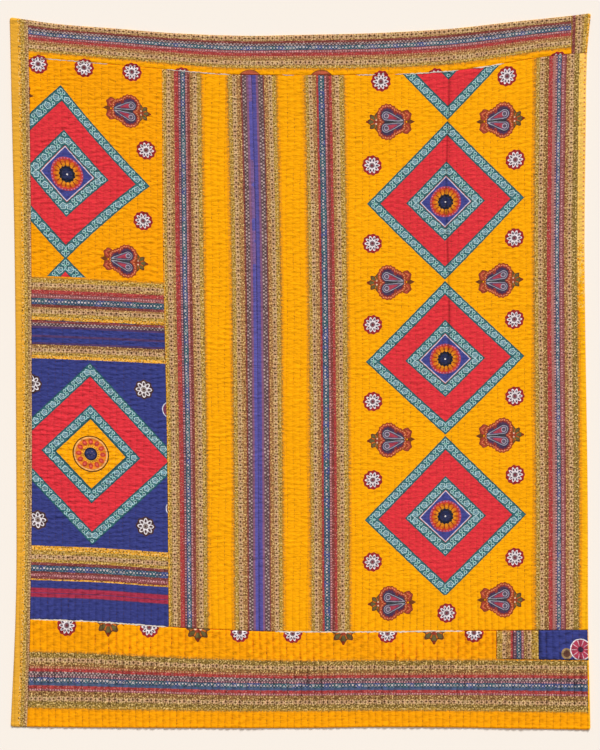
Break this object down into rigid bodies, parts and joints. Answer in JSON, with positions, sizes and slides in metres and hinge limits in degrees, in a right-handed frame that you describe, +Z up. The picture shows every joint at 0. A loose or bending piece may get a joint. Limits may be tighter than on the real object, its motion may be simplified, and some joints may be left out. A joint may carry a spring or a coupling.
{
  "type": "kantha quilt",
  "caption": "Thin patchwork quilt of printed cotton cloths, sewn edge to edge and quilted in rows of running stitch, lying flat and face up.",
  "frame": {"origin": "on the floor, at the middle of the rectangle that the hems fit in", "axes": "+Y towards the top hem, along the length; +X towards the right hem; +Z up, out of the face of the quilt"},
  "size_m": [1.2784, 1.5766, 0.0066],
  "materials": {
    "marigold_print": "printed cotton, quilted",
    "border_print": "printed cotton, quilted",
    "blue_print": "printed cotton, quilted",
    "golden_print": "printed cotton, quilted",
    "thread": "cotton sewing thread",
    "selvedge": "undyed cotton edge"
  },
  "bodies": {
    "root": {"left_binding": "golden_print", "top_border": "border_print", "corner_patch": "border_print", "upper_left_panel": "marigold_print", "blue_panel": "blue_print", "stripe_panel": "marigold_print", "diamond_panel": "marigold_print", "bottom_border": "border_print", "band_patch": "border_print", "blue_patch": "blue_print"}
  },
  "joints": []
}
